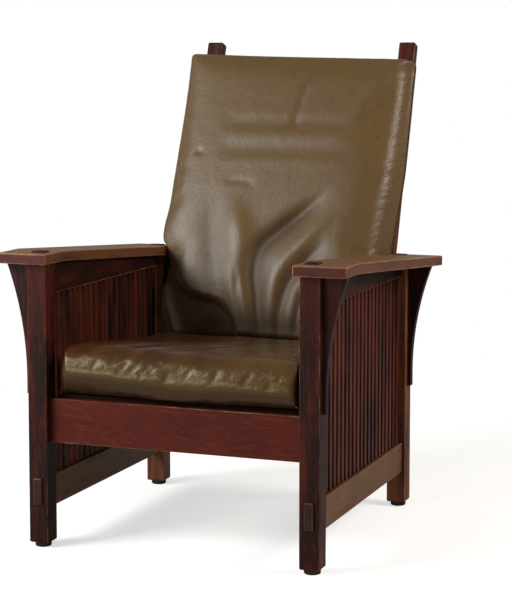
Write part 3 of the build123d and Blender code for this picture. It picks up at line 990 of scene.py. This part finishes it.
# Folds: route across and up from the pivot, height, widths on the right and on the left of
# the route, all in millimetres, and the share of the route over which the fold rises
BACK_FOLDS = [
    ([(150, 407), (78, 344), (19, 293), (-31, 250), (-47, 209), (-44, 158), (-31, 121),
      (-16, 30)], -15, 13, 24, 0.35),
    ([(170, 350), (130, 310), (88, 258), (40, 205), (18, 150), (18, 30)], 5, 28, 16, 0.35),
    ([(149, 273), (83, 203), (46, 150), (33, 84), (32, 30)], -10, 11, 18, 0.35),
    ([(110, 170), (93, 130), (84, 76), (81, 30)], -9, 9, 14, 0.35),
    ([(-130, 380), (-105, 329), (-80, 257), (-70, 181), (-56, 106), (-45, 30)], 8, 50, 34, 0.3),
    ([(-185, 410), (-176, 351), (-165, 256), (-136, 154), (-105, 79)], -4, 26, 30, 0.4),
    ([(-92, 202), (-82, 169), (-71, 99), (-59, 30)], -4, 6, 8, 0.35),
    ([(78, 755), (40, 700), (28, 635), (18, 565)], -2.8, 6, 5, 0.2),
    ([(-150, 411), (-110, 414), (-82, 408)], -1.5, 7, 5, 0.3),
]

# Edge of the flap where the squeezed lower left corner is tucked under, and the
# ridge that stays on the tucked part
FLAP = [(-320, 250), (-290, 222), (-250, 168), (-218, 126), (-175, 114),
        (-133, 106), (-104, 87), (-79, 52), (-69, 0)]
TUCKED_RIDGE = ([(-290, 160), (-275, 100), (-250, 40), (-240, 0)], 13, 12, 16, 0.2)

# Heights up the back between which the cushion's form, or its painted shade, changes, in metres
PAST_ARMS = (0.2, 0.27)          # the left side spreads over the arm
DRAWN_IN = (0.2, 0.5)            # the right side is drawn in below
FREE_OF_ARMS = (0.28, 0.36)      # the left side gets its full roll above
FOOT_SHADOW_BAND = (0.055, 0.11)         # painted shadow at the foot, where it is squeezed behind the seat cushion

PANEL_LENGTH = 0.772             # sets how many cells go up the back cushion
ARM_PLAY = 1 * MM                # between the cushion and an arm
BULGE = 25 * MM                  # how far it may reach over an arm
PUCKER_REACH = 26 * MM           # how far puckers reach in from a seam

# Marks of the back slats: where they start and end up the back, half their width, and the
# band over which they fade out
MARK_PITCH = 0.075
MARK_DEPTH = 1.2 * MM
MARK_START = (0.42, 0.5)
MARK_END = 0.62
MARK_HALF = 0.19
MARK_FADE = 0.06

DIMPLE = (-0.23, 0.489)
DIMPLE_DEPTH = 4 * MM
DIMPLE_RADIUS = 7 * MM


class MakeBackCushion(bpy.types.Operator):
    """Back cushion: a leather bag with rolled edges that has slumped into folds at its foot"""

    bl_idname = "armchair.back_cushion"
    bl_label = "Back cushion"

    def shape(self, grid, sizes):
        """The stuffed bag before it swells, as across, along and out."""
        place = Place(PIVOT, BACK_UP, (0, -cos(LEAN), sin(LEAN)))
        cad = place.local(corners("back_cushion"))
        base = cad[:, 2].min()
        long = cad[:, 1].max() - 2 * MM - sizes.low
        sideways = 2 * grid[:, 0] - 1
        rise = grid[:, 1]
        height = sizes.low + rise * long
        free = cad[:, 0].max() - sizes.spare
        pressed = ARM_INNER - ARM_PLAY
        left = pressed + (free + sizes.shift - pressed) * smooth(height, *PAST_ARMS)
        right = free - sizes.slack * (1 - smooth(height, *DRAWN_IN))
        half = np.where(sideways < 0, left, right)
        thick = sizes.edge_low + (sizes.edge_high - sizes.edge_low) * smooth(rise, 0.3, 1.0)
        x, y = round_corners(sideways * half, (rise - 0.5) * long, half, long / 2, sizes.corner)
        free_side = 0.1 + 0.9 * smooth(height, *FREE_OF_ARMS)
        reach = np.where(sideways < 0, sizes.side_roll * free_side, sizes.right_roll)
        drop = np.where(sideways < 0, 0.3 * free_side, 0.6) * thick
        x, out = roll(x, grid[:, 2] * thick, half, thick, reach, drop)
        y, out = roll(y, out, long / 2, thick, sizes.end_roll, 0.35 * thick)
        crown = sizes.crown * (1 - np.abs(sideways) ** 3) * (1 - np.abs(2 * rise - 1) ** 4)
        out = out + base + crown * smooth(grid[:, 2], 0.6, 1)
        y = y - sizes.sag * (1 + 0.2 * sideways) * smooth(rise, 0.4, 1)
        return place, np.column_stack([x, y + sizes.low + long / 2, out])

    def slump(self, local, grid, sizes):
        """Folds and slat marks pressed into the panel by years of use."""
        x = local[:, 0]
        y = local[:, 1]
        tucked = smooth(-route_distance(x, y, FLAP)[0], -1 * MM, 9 * MM)
        height = folds(x, y, BACK_FOLDS) * (1 - 0.7 * tucked) - sizes.flap * tucked
        height += fold(x, y, *TUCKED_RIDGE)
        marked = smooth(y, *MARK_START) * smooth(MARK_END - y, 0, MARK_FADE)
        marked = marked * smooth(MARK_HALF - np.abs(x), 0, MARK_FADE)
        height += MARK_DEPTH * np.sin(y * 2 * pi / MARK_PITCH + 0.8) * marked
        return height * smooth(grid[:, 2], 0.5, 1.0)

    def rim_gaps(self, local, grid):
        """Distance of each point to the nearer side, and to the top."""
        side = 2 * np.minimum(grid[:, 0], 1 - grid[:, 0]) * ARM_INNER
        return side, (1 - grid[:, 1]) * np.ptp(local[:, 1])

    def pucker(self, local, grid):
        """Small gathers along the front seams, and one dimple."""
        x = local[:, 0]
        y = local[:, 1]
        side, top = self.rim_gaps(local, grid)
        slant = np.where(x > 0, 0.7, 0.2)
        strength = np.where(x > 0, 1.7, 0.25) * MM
        height = strength * wander(y + slant * side, 0.024, 0.6) * np.exp(-side / PUCKER_REACH)
        height += 0.6 * MM * wander(x + 0.2 * top, 0.022, 2.2) * np.exp(-top / PUCKER_REACH)
        away = np.hypot(x - DIMPLE[0], y - DIMPLE[1])
        height -= DIMPLE_DEPTH * np.exp(-((away / DIMPLE_RADIUS) ** 2))
        return height * smooth(grid[:, 2], 0.5, 1.0)

    def between_arms(self, points):
        """Presses points in beside the arms, and lets them bulge over the arms' tops."""
        start, fall = arm_bend()
        arm_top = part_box("arm_left")[1].z - fall * np.maximum(points[:, 1] - start, 0)
        beside = smooth(points[:, 2], arm_top + 12 * MM, arm_top + 3 * MM)
        wall = ARM_INNER - ARM_PLAY + BULGE * (1 - beside)
        points[:, 0] = np.clip(points[:, 0], -wall, wall)
        return points

    def execute(self, context):
        sizes = context.scene.back_cushion
        across = round(2 * ARM_INNER / sizes.cell)
        along = round(PANEL_LENGTH / sizes.cell)
        grid, steps, faces = skin(across, along, round(sizes.edge_low / sizes.cell))
        place, local = self.shape(grid, sizes)
        height = self.slump(local, grid, sizes)
        local[:, 2] += height
        piece = mesh_piece("back_cushion_leather", place.points(local), [], faces)
        back_seam, front_seam = rims(grid)
        front_seam &= grid[:, 0] < 0.999
        held = np.where(grid[:, 2] < 0.001, 1.0, 0.3 * front_seam)
        fill(piece, held, loose=0.004, cap=12 * MM)
        local = place.local(mesh_points(piece.data))
        local[:, 2] += self.pucker(local, grid) + 0.25 * height * (1 - front_seam)
        local[:, 2] -= (1.2 + 0.9 * wander(local[:, 1], 0.043, 1.1)) * MM * front_seam
        points = self.between_arms(place.points(local))
        set_points(piece, points)

        local = place.local(points)
        side, top = self.rim_gaps(local, grid)
        painted_foot_shadow = 1 - smooth(local[:, 1], *FOOT_SHADOW_BAND)
        gather = np.where(grid[:, 0] > 0.5, 1.0, 0.2) * np.exp(-side / (38 * MM))
        # Painted shade in fold valleys, the tucked flap and the foot; lighter ridges, partly a
        # painted highlight
        shade_attributes(
            piece,
            hollow=np.maximum(np.clip(-height / (16 * MM), 0, 1), 0.9 * painted_foot_shadow),
            ridge=np.clip(height / (12 * MM), 0, 1),
            gather=np.maximum(gather, 0.45 * np.exp(-top / (30 * MM))),
        )
        crease_edges(piece, back_seam)
        group = context.scene.cushion_leather
        hide = leather(
            "back_leather", group.ground, group.ground, seed=2.7, gloss=0.55, dull=0.34,
            painted_shade_and_light=0.0, crinkle=0.18, sheen=(1, 1, 1),
        )
        sew(piece, hide, "back_cushion")
        ring = place.points(local[seam_loop(steps, across, along)])
        seam_piping(piece, ring, sizes.piping, "back_cushion", closed=True)
        return {"FINISHED"}


# Seat cushion

# Short creases over the rolled front: routes across and up the front in millimetres
SEAT_CREASES = [
    [(-133, 32), (-121, 58), (-108, 80)], [(-112, 30), (-95, 60), (-78, 88)],
    [(-80, 30), (-70, 55), (-58, 74)], [(-55, 50), (-45, 75), (-32, 90)],
    [(-152, 62), (-140, 85), (-122, 105)], [(90, 30), (100, 56), (105, 75)],
    [(-195, 45), (-182, 75)], [(25, 45), (42, 75)], [(165, 35), (180, 70)],
    [(-20, 35), (-8, 60)], [(215, 30), (235, 50)], [(-100, 85), (-70, 110), (-50, 118)],
]
SEAT_CREASE_SIZES = (-1.5, 4, 3.5, 0.3)
SEAT_LENGTH = 0.56               # sets how many cells go along the seat cushion


class MakeSeatCushion(bpy.types.Operator):
    """Seat cushion: a leather bag with a rolled front, its left corner raised"""

    bl_idname = "armchair.seat_cushion"
    bl_label = "Seat cushion"

    def shape(self, grid, sizes):
        """The stuffed bag before it swells, as across, along and out."""
        slope = sizes.slope
        place = Place((0, LEG_FRONT, 0), (0, cos(slope), -sin(slope)), (0, sin(slope), cos(slope)))
        cad = place.local(corners("seat_cushion"))
        base = cad[:, 2].min()
        front = cad[:, 1].min()
        long = cad[:, 1].max() - front
        sideways = 2 * grid[:, 0] - 1
        back = grid[:, 1]
        depth = grid[:, 2]
        right = cad[:, 0].max() + 4 * MM
        left = right - 6 * MM - sizes.drawn_in * (1 - smooth(back, 0, 0.5))
        half = np.where(sideways < 0, left, right)
        thick = sizes.edge + sizes.front_rise * (1 - smooth(back, 0.05, 0.6))
        x, y = round_corners(sideways * half, (back - 0.5) * long, half, long / 2, sizes.corner)
        x, out = roll(x, depth * thick, half, thick, sizes.side_roll, 0.1 * thick)

        # The front is rolled from above and then from below, and the rear from above
        end = long / 2
        nose = sizes.nose
        nose_y, nose_out = roll(np.minimum(y, 0), out, end, thick, nose, 0.62 * thick)
        nose_y, under = roll(nose_y, thick - nose_out, end, thick, 0.8 * nose, 0.36 * thick)
        rear_y, rear_out = roll(np.maximum(y, 0), out, end, thick, sizes.end_roll, 0.4 * thick)
        out = np.where(y < 0, thick - under, rear_out)
        y = np.where(y < 0, nose_y, rear_y)

        crown = sizes.crown * (1 - np.abs(sideways) ** 4)
        crown = crown * smooth(back, 0, 0.3) * (1 - smooth(back, 0.8, 1))
        lift = sizes.corner_lift * smooth(-x, -0.08, 0.283)
        foot_lift = lift * (1 - smooth(back, 0.0, 0.08)) * (1 - depth)
        top_lift = 0.55 * lift * (1 - smooth(back, 0.02, 0.55)) * depth
        out = out + base + crown * smooth(depth, 0.6, 1) + foot_lift + top_lift
        return place, np.column_stack([x, y + long / 2 + front, out])

    def pressed(self, local, grid, sizes):
        """Puckers over the rolled front and soft folds on top."""
        x = local[:, 0]
        y = local[:, 1] - local[:, 1].min()
        depth = grid[:, 2]
        nose = np.exp(-(((y - 6 * MM) / (26 * MM)) ** 2)) * smooth(depth, 0.2, 0.7)
        gathered = 0.35 + np.exp(-(((x + 0.1) / 0.08) ** 2))
        height = 0.15 * MM * wander(x - 0.09 * depth, 0.026, 0.3) * nose * gathered
        up = depth * sizes.edge + np.maximum(y - 12 * MM, 0)
        creases = folds(x, up, [(route, *SEAT_CREASE_SIZES) for route in SEAT_CREASES])
        height += creases * smooth(depth, 0.1, 0.3)
        height += 1.6 * MM * wander(x * 0.8 - y * 0.6, 0.11, 1.3) * smooth(depth, 0.8, 1)
        return height

    def execute(self, context):
        sizes = context.scene.seat_cushion
        across = round(2 * ARM_INNER / sizes.cell)
        along = round(SEAT_LENGTH / sizes.cell)
        grid, steps, faces = skin(across, along, round(sizes.edge / sizes.cell))
        grid[:, 1] = grid[:, 1] * (0.55 + 0.45 * grid[:, 1])
        place, local = self.shape(grid, sizes)
        piece = mesh_piece("seat_cushion_leather", place.points(local), [], faces)
        seam, _ = rims(grid)
        held = np.where(grid[:, 2] < 0.001, smooth(grid[:, 1], 0.03, 0.15), 0)
        fill(piece, held, loose=0.01, cap=9 * MM)
        local = place.local(mesh_points(piece.data))
        height = self.pressed(local, grid, sizes)
        facing = smooth(grid[:, 1], 0.0, 0.06)
        local[:, 2] += height * (0.25 + 0.75 * facing)
        local[:, 1] -= height * (1 - facing)
        set_points(piece, place.points(local))
        # Painted shade in the creases; lighter ridges, partly a painted highlight
        shade_attributes(
            piece,
            hollow=np.clip(-height / (5 * MM), 0, 1),
            ridge=np.clip(height / (5 * MM), 0, 1),
            gather=0.25 * (1 - facing),
        )
        crease_edges(piece, seam)
        ring = mesh_points(piece.data)[seam_loop(steps, across, along)[across + 3:-3]]
        group = context.scene.cushion_leather
        hide = leather(
            "seat_leather", group.seat, group.painted_reflection_olive, seed=0.0, gloss=0.34, dull=0.16,
            painted_shade_and_light=0.85, crinkle=0.2, sheen=(1, 0.84, 0.6),
        )
        sew(piece, hide, "seat_cushion")
        seam_piping(piece, ring, sizes.piping, "seat_cushion", closed=False)
        return {"FINISHED"}


# Stage

WHITE = (1, 1, 1, 1)
AIM = (0, 0, 0.55)
FLOOR_REACH = 30.0

# Lamps: place, size, watts and colour
LAMPS = {
    "left_box": ((-2.3, -2.35, 2.15), (1.4, 1.1), 92, (0.97, 1, 0.98)),
    "low_box": ((-1.75, -3.3, 1.0), (1.4, 0.38), 24, (0.97, 1, 0.98)),
    "right_box": ((2.9, 0.2, 2.2), (1.0, 1.2), 60, (1, 0.93, 0.82)),
}


def area_light(name, place, size, watts, tint):
    """A soft rectangular lamp that looks at the chair."""
    lamp = bpy.data.lights.new(name, "AREA")
    lamp.shape = "RECTANGLE"
    lamp.size, lamp.size_y = size
    lamp.energy = watts
    lamp.color = tint
    holder = linked(name, lamp)
    holder.location = place
    holder.rotation_euler = (Vector(AIM) - Vector(place)).to_track_quat("-Z", "Y").to_euler()


def floor_material():
    """Pale studio floor: white to the camera, with the chair's shadow kept."""
    look = Finish("studio_floor")
    diffuse = look.node("ShaderNodeBsdfDiffuse", inputs={"Color": (0.8, 0.8, 0.8, 1)})
    veil = look.node("ShaderNodeEmission", inputs={"Color": WHITE, "Strength": 0.6})
    near = look.node("ShaderNodeAddShader", inputs={0: diffuse, 1: veil})
    white = look.node("ShaderNodeEmission", inputs={"Color": WHITE, "Strength": 1.0})
    away = look.node("ShaderNodeVectorMath", {"operation": "LENGTH"}, {0: look.place}, "Value")
    seen = look.node("ShaderNodeMixShader", inputs={0: away.step(0.9, 1.8), 1: near, 2: white})
    rays = look.node("ShaderNodeLightPath", output="Is Camera Ray")
    shown = look.node("ShaderNodeMixShader", inputs={0: rays, 1: diffuse, 2: seen})
    look.node("ShaderNodeOutputMaterial", inputs={"Surface": shown})
    return look.material


def studio_world():
    """White to the camera and in reflections, softer as light on the chair."""
    world = bpy.data.worlds.new("studio")
    bpy.context.scene.world = world
    world.use_nodes = True
    look = Tree(world.node_tree)
    world.node_tree.nodes.clear()
    camera, clear, glossy = [
        look.node("ShaderNodeLightPath", output=f"Is {kind} Ray")
        for kind in ("Camera", "Transmission", "Glossy")
    ]
    strength = 0.15 + camera.most(clear) * 0.85 + glossy * 0.25
    white = look.node("ShaderNodeBackground", inputs={"Color": WHITE, "Strength": strength})
    look.node("ShaderNodeOutputWorld", inputs={"Surface": white})


class MakeStage(bpy.types.Operator):
    """Floor, lamps, world and camera"""

    bl_idname = "armchair.stage"
    bl_label = "Stage"

    def execute(self, context):
        sizes = context.scene.stage_sizes
        scene = context.scene
        corner_places = [
            (x * FLOOR_REACH, y * FLOOR_REACH, 0) for x, y in ((-1, -1), (1, -1), (1, 1), (-1, 1))
        ]
        floor = mesh_piece("studio_floor", corner_places, [], [(0, 1, 2, 3)])
        floor.data.materials.append(floor_material())
        studio_world()
        for name, values in LAMPS.items():
            area_light(name, *values)
        camera = bpy.data.cameras.new("camera")
        camera.sensor_width = 36
        camera.lens = sizes.lens
        camera.shift_y = sizes.shift
        holder = linked("camera", camera)
        holder.location = sizes.camera
        holder.rotation_euler = (pi / 2 - sizes.pitch, 0, sizes.yaw)
        scene.camera = holder
        scene.view_settings.view_transform = "Standard"
        return {"FINISHED"}


OPERATORS = (
    MakeOakFrame, MakeMetalwork, MakeWebbing, MakeSeatCushion, MakeBackCushion, MakeStage,
)


class ArmchairPanel(bpy.types.Panel):
    """Lists the pieces of the armchair and their sizes"""

    bl_idname = "VIEW3D_PT_armchair"
    bl_label = "Armchair"
    bl_space_type = "VIEW_3D"
    bl_region_type = "UI"
    bl_category = "Armchair"

    def draw(self, context):
        for operator in OPERATORS:
            self.layout.operator(operator.bl_idname)
        for name, group in GROUPS.items():
            box = self.layout.box()
            box.label(text=group.__doc__)
            for key in group.__annotations__:
                box.prop(getattr(context.scene, name), key)


def register():
    for made in (*GROUPS.values(), *OPERATORS, ArmchairPanel):
        bpy.utils.register_class(made)
    for name, group in GROUPS.items():
        setattr(bpy.types.Scene, name, PointerProperty(type=group))


def unregister():
    for name in GROUPS:
        delattr(bpy.types.Scene, name)
    for made in reversed((*GROUPS.values(), *OPERATORS, ArmchairPanel)):
        bpy.utils.unregister_class(made)


def main():
    """Registers the add-on and makes every piece in order."""
    register()
    for operator in OPERATORS:
        family, name = operator.bl_idname.split(".")
        getattr(getattr(bpy.ops, family), name)()


if __name__ == "__main__":
    main()
